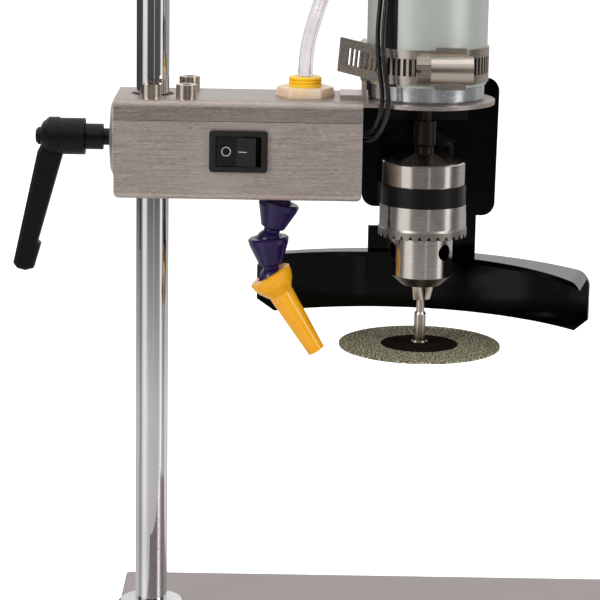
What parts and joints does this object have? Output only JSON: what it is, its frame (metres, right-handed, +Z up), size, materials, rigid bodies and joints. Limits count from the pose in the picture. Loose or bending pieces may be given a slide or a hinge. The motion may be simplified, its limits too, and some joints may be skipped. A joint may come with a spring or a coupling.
{
  "type": "bench cutting stand",
  "caption": "Small bench cutting stand: a motor with a key chuck and a thin disc on a clamped arm that slides on a pole, with a water nozzle and a splash guard.",
  "frame": {"origin": "centre of the footprint of the whole stand, on the surface it rests on, cords left out", "axes": "+Z up along the pole, +X along the arm from the pole to the motor, +Y to the back"},
  "size_m": [0.2389, 0.1626, 0.3236],
  "materials": {
    "brushed_steel_base": "brushed",
    "brushed_steel": "brushed",
    "black_rubber": "matte",
    "chrome_steel": "polished",
    "nickel_steel": "satin",
    "black_plastic": "satin",
    "gloss_black_plastic": "glossy",
    "aluminium": "machined",
    "white_nylon": "satin",
    "brass": "satin",
    "milky_plastic": "translucent",
    "orange_plastic": "satin",
    "violet_plastic": "satin",
    "zinc_steel": "zinc plated",
    "grey_green_sleeve": "satin",
    "ferrite": "matte",
    "stainless_band": "rolled",
    "copper": "turned",
    "chuck_steel": "ground",
    "black_oxide": "satin",
    "diamond_grit": "gritty",
    "clear_hose": "clear",
    "black_lead": "satin"
  },
  "bodies": {
    "stand": {"base_plate": "brushed_steel_base", "base_feet": "black_rubber", "pole_flange": "chrome_steel", "pole": "chrome_steel", "pole_screw": "nickel_steel", "pole_cap": "black_plastic"},
    "bushes": {"pole_bushes": "white_nylon"},
    "pad": {"pressure_pad": "brass"},
    "lever_screw": {"lever_screw": "black_oxide"},
    "lever": {"lever_handle": "black_plastic", "lever_button": "black_plastic"},
    "rocker": {"switch_rocker": "gloss_black_plastic"},
    "link_upper": {"hose_link_upper": "violet_plastic"},
    "link_lower": {"hose_link_lower": "violet_plastic"},
    "nozzle": {"nozzle": "orange_plastic"},
    "worm": {"worm_screw": "nickel_steel"},
    "spindle": {"motor_shaft": "nickel_steel", "armature": "ferrite", "commutator": "copper", "shaft_adapter": "nickel_steel", "chuck_body": "chuck_steel", "mandrel": "nickel_steel", "cutting_disc": "diamond_grit", "disc_screw": "nickel_steel"},
    "sleeve": {"chuck_sleeve": "chuck_steel", "chuck_band": "black_oxide", "chuck_nut": "chuck_steel"},
    "jaw_1": {"jaw_1": "chuck_steel"},
    "jaw_2": {"jaw_2": "chuck_steel"},
    "jaw_3": {"jaw_3": "chuck_steel"},
    "arm": {"arm_housing": "brushed_steel", "arm_lid": "brushed_steel", "end_boss": "brushed_steel", "clamp_screws": "nickel_steel", "clamp_block": "aluminium", "switch_body": "black_plastic", "switch_terminals": "brass", "power_socket": "black_plastic", "inlet_base": "milky_plastic", "inlet_nut": "orange_plastic", "outlet_fitting": "violet_plastic", "outlet_nut": "violet_plastic", "motor_can": "zinc_steel", "motor_sleeve": "grey_green_sleeve", "motor_end_cap": "black_plastic", "front_bearing": "nickel_steel", "rear_bearing": "nickel_steel", "motor_magnets": "ferrite", "motor_terminals": "brass", "motor_brushes": "ferrite", "motor_tab": "brushed_steel", "clamp_band": "stainless_band", "worm_housing": "stainless_band", "splash_guard": "gloss_black_plastic", "guard_bracket": "black_oxide", "guard_screws": "nickel_steel", "water_hose": "clear_hose", "motor_lead_a": "black_lead", "motor_lead_b": "black_lead", "inner_hose": "clear_hose"}
  },
  "joints": [
    {"name": "arm_slide", "type": "slide", "parent": "stand", "child": "bushes", "axis": [0, 0, 1], "range_m": [-0.095, 0.095]},
    {"name": "arm_swivel", "type": "hinge", "parent": "bushes", "child": "arm", "pos_m": [-0.0692, 0.031, 0.169], "axis": [0, 0, 1], "range_deg": [-120, 120]},
    {"name": "pad_travel", "type": "slide", "parent": "arm", "child": "pad", "axis": [-1, 0, 0], "range_m": [0, 0.00076]},
    {"name": "lever_turn", "type": "hinge", "parent": "pad", "child": "lever_screw", "pos_m": [-0.0692, 0.031, 0.1887], "axis": [-1, 0, 0], "range_deg": [0, 270]},
    {"name": "lever_lift", "type": "slide", "parent": "lever_screw", "child": "lever", "axis": [-1, 0, 0], "range_m": [0, 0.004], "stiffness_N_per_m": 600, "springref_m": -0.002},
    {"name": "switch_rock", "type": "hinge", "parent": "arm", "child": "rocker", "pos_m": [-0.0372, 0.0146, 0.187], "axis": [0, 0, 1], "range_deg": [0, 20]},
    {"name": "hose_bend_upper", "type": "hinge", "parent": "arm", "child": "link_upper", "pos_m": [-0.0228, 0.031, 0.1638], "axis": [0, 1, 0], "range_deg": [-3, 10]},
    {"name": "hose_bend_lower", "type": "hinge", "parent": "link_upper", "child": "link_lower", "pos_m": [-0.02616, 0.031, 0.15031], "axis": [0, 1, 0], "range_deg": [-3, 33]},
    {"name": "nozzle_bend", "type": "hinge", "parent": "link_lower", "child": "nozzle", "pos_m": [-0.02471, 0.031, 0.13649], "axis": [0, 1, 0], "range_deg": [0, 33]},
    {"name": "clamp_worm_turn", "type": "hinge", "parent": "arm", "child": "worm", "pos_m": [0.0305, 0.0036, 0.2183], "axis": [-1, 0, 0], "range_deg": [0, 720]},
    {"name": "spindle_spin", "type": "hinge", "parent": "arm", "child": "spindle", "pos_m": [0.0305, 0.031, 0.205], "axis": [0, 0, 1], "continuous": true},
    {"name": "sleeve_turn", "type": "hinge", "parent": "spindle", "child": "sleeve", "pos_m": [0.0305, 0.031, 0.205], "axis": [0, 0, -1], "range_deg": [0, 1500]},
    {"name": "jaw_1_travel", "type": "slide", "parent": "spindle", "child": "jaw_1", "axis": [0.2588, 0, 0.9659], "range_m": [0, 0.0053]},
    {"name": "jaw_2_travel", "type": "slide", "parent": "spindle", "child": "jaw_2", "axis": [-0.1294, 0.2241, 0.9659], "range_m": [0, 0.0053]},
    {"name": "jaw_3_travel", "type": "slide", "parent": "spindle", "child": "jaw_3", "axis": [-0.1294, -0.2241, 0.9659], "range_m": [0, 0.0053]}
  ],
  "couplings": [
    {"joint": "pad_travel", "follows": "lever_turn", "m_per_rad": 0.00015915},
    {"joint": "jaw_1_travel", "follows": "sleeve_turn", "m_per_rad": 0.00020213},
    {"joint": "jaw_2_travel", "follows": "sleeve_turn", "m_per_rad": 0.00020213},
    {"joint": "jaw_3_travel", "follows": "sleeve_turn", "m_per_rad": 0.00020213}
  ]
}
